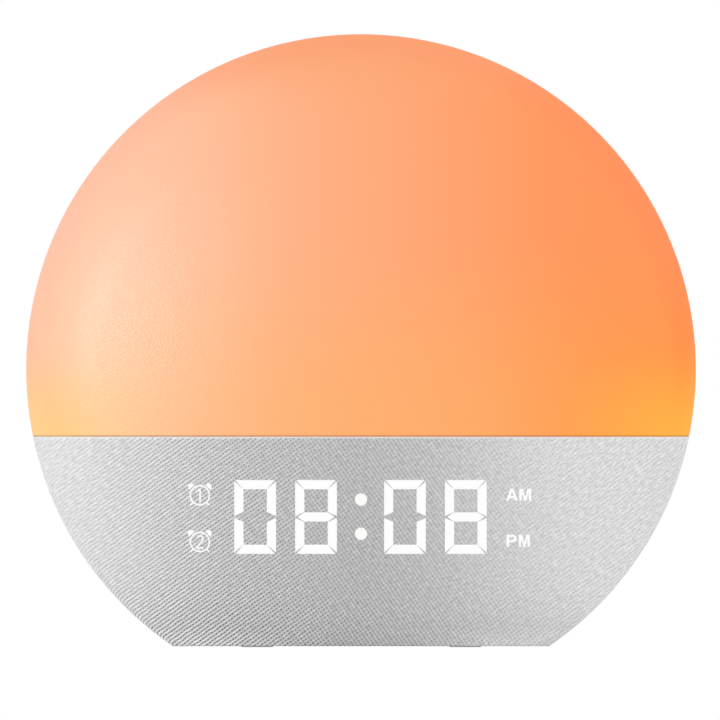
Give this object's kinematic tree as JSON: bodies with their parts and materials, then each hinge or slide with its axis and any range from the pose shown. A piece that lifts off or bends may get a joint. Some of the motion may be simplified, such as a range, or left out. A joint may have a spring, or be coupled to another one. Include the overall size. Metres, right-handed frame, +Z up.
{
  "type": "sunrise alarm clock",
  "caption": "Round sunrise alarm clock cut flat at the base: frosted light dome over a cloth-covered front with a digital display, keys, speaker and power inlet on the back.",
  "frame": {"origin": "on the resting plane, midway between the front apex and the back face, on the plane of symmetry of the body", "axes": "+X to the right seen from the front, +Y to the back, +Z up"},
  "size_m": [0.18, 0.084, 0.1647],
  "materials": {
    "woven_cloth": "woven",
    "dark_plastic": "satin",
    "frosted_dome": "frosted, lit warm from behind",
    "white_plastic": "fine satin",
    "inner_plastic": "satin",
    "foot_rubber": "matt, pale",
    "rubber": "matt",
    "steel": "plated",
    "cell_steel": "bright",
    "spring_steel": "plated",
    "reflector_plastic": "gloss white",
    "board": "solder mask",
    "led_package": "gloss",
    "black_plastic": "matt",
    "clear_plastic": "clear",
    "lit_display": "lit",
    "basket_paint": "black",
    "ferrite": "matt",
    "copper": "enamelled wire",
    "cone_paper": "coated paper",
    "grille_plastic": "fine satin",
    "key_plastic": "fine satin",
    "connector_plastic": "satin",
    "ribbon_film": "smooth"
  },
  "bodies": {
    "clock": {"fabric_cover": "woven_cloth", "fabric_carrier": "dark_plastic", "diffuser_dome": "frosted_dome", "rear_housing": "white_plastic", "divider_shelf": "inner_plastic", "base_plate": "white_plastic", "rubber_feet": "foot_rubber", "base_screws": "steel", "coin_cell": "cell_steel", "battery_contacts": "spring_steel", "reflector": "reflector_plastic", "led_board": "board", "led_chips": "led_package", "led_screws": "steel", "display_shroud": "black_plastic", "segment_guides": "clear_plastic", "colon_guides": "clear_plastic", "indicator_guides": "clear_plastic", "lit_digits": "lit_display", "lit_colon": "lit_display", "display_leds": "led_package", "display_board": "board", "display_screws": "steel", "control_board": "board", "board_components": "black_plastic", "control_screws": "steel", "switch_bodies": "black_plastic", "speaker_basket": "basket_paint", "speaker_magnet": "ferrite", "speaker_yoke": "steel", "speaker_surround": "rubber", "speaker_gasket": "rubber", "speaker_screws": "steel", "speaker_grille": "grille_plastic", "dc_jack": "black_plastic", "dc_pin": "steel", "ribbon_plugs": "connector_plastic", "display_ribbon": "ribbon_film"},
    "key_light": {"button_light": "key_plastic", "plunger_light": "black_plastic"},
    "key_sound": {"button_sound": "key_plastic", "plunger_sound": "black_plastic"},
    "key_volume_down": {"button_volume_down": "key_plastic", "plunger_volume_down": "black_plastic"},
    "key_volume_up": {"button_volume_up": "key_plastic", "plunger_volume_up": "black_plastic"},
    "key_alarm_1": {"button_alarm_1": "key_plastic", "plunger_alarm_1": "black_plastic"},
    "key_alarm_2": {"button_alarm_2": "key_plastic", "plunger_alarm_2": "black_plastic"},
    "key_time": {"button_time": "key_plastic", "plunger_time": "black_plastic"},
    "key_dimmer": {"button_dimmer": "key_plastic", "plunger_dimmer": "black_plastic"},
    "cap": {"battery_cap": "white_plastic"},
    "cone": {"speaker_cone": "cone_paper", "voice_coil": "copper", "dust_cap": "cone_paper"}
  },
  "joints": [
    {"name": "press_light", "type": "slide", "parent": "clock", "child": "key_light", "axis": [0, -1, 0], "range_m": [0, 0.0005], "stiffness_N_per_m": 400, "springref_m": -0.002},
    {"name": "press_sound", "type": "slide", "parent": "clock", "child": "key_sound", "axis": [0, -1, 0], "range_m": [0, 0.0005], "stiffness_N_per_m": 400, "springref_m": -0.002},
    {"name": "press_volume_down", "type": "slide", "parent": "clock", "child": "key_volume_down", "axis": [0, -1, 0], "range_m": [0, 0.0005], "stiffness_N_per_m": 400, "springref_m": -0.002},
    {"name": "press_volume_up", "type": "slide", "parent": "clock", "child": "key_volume_up", "axis": [0, -1, 0], "range_m": [0, 0.0005], "stiffness_N_per_m": 400, "springref_m": -0.002},
    {"name": "press_alarm_1", "type": "slide", "parent": "clock", "child": "key_alarm_1", "axis": [0, -1, 0], "range_m": [0, 0.0005], "stiffness_N_per_m": 400, "springref_m": -0.002},
    {"name": "press_alarm_2", "type": "slide", "parent": "clock", "child": "key_alarm_2", "axis": [0, -1, 0], "range_m": [0, 0.0005], "stiffness_N_per_m": 400, "springref_m": -0.002},
    {"name": "press_time", "type": "slide", "parent": "clock", "child": "key_time", "axis": [0, -1, 0], "range_m": [0, 0.0005], "stiffness_N_per_m": 400, "springref_m": -0.002},
    {"name": "press_dimmer", "type": "slide", "parent": "clock", "child": "key_dimmer", "axis": [0, -1, 0], "range_m": [0, 0.0005], "stiffness_N_per_m": 400, "springref_m": -0.002},
    {"name": "cap_turn", "type": "hinge", "parent": "clock", "child": "cap", "pos_m": [0, 0.009, 0.0013], "axis": [0, 0, -1], "range_deg": [0, 60]},
    {"name": "cone_travel", "type": "slide", "parent": "clock", "child": "cone", "axis": [0, 1, 0], "range_m": [-0.0006, 0.0006], "stiffness_N_per_m": 500, "deforming": ["speaker_surround"]}
  ]
}
